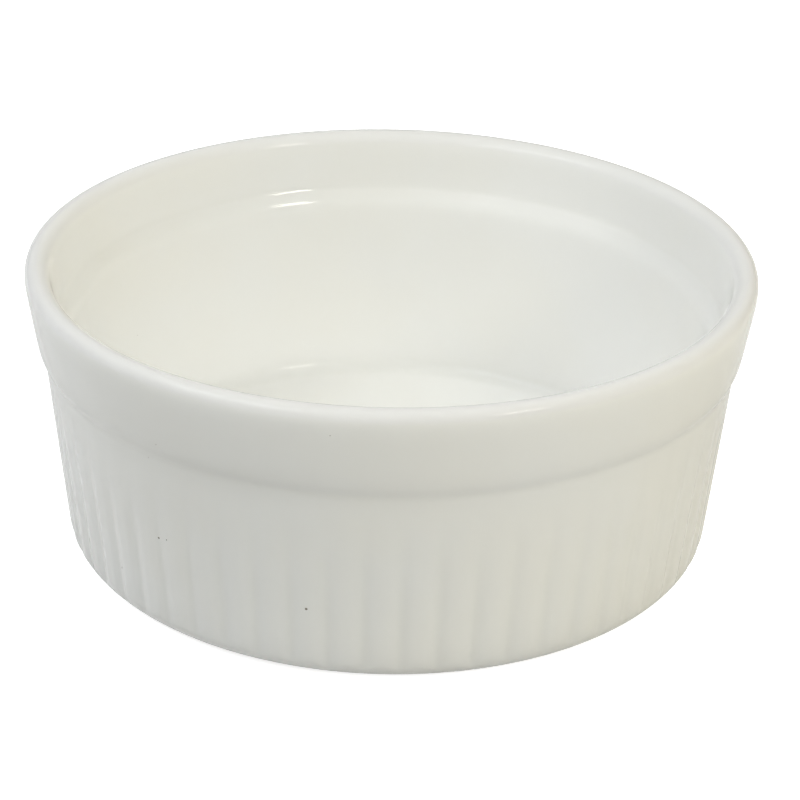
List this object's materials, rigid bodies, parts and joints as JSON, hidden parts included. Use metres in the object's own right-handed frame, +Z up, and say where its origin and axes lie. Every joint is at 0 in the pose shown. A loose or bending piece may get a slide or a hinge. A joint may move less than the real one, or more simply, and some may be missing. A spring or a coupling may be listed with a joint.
{
  "type": "ramekin",
  "caption": "Round white fluted ramekin with a plain collar at the rim, a stacking ledge inside and a bare foot ring under the base.",
  "frame": {"origin": "centre of the foot ring's standing face", "axes": "+Z up along the pot's axis, -Y towards the picture's camera"},
  "size_m": [0.1, 0.1, 0.041],
  "materials": {
    "bare_porcelain": "matte, unglazed, fine dry grain",
    "white_glaze": "smooth gloss with a few tiny kiln specks"
  },
  "bodies": {
    "root": {"porcelain_body": "bare_porcelain", "glaze_coat": "white_glaze", "underside_glaze": "white_glaze"}
  },
  "joints": []
}
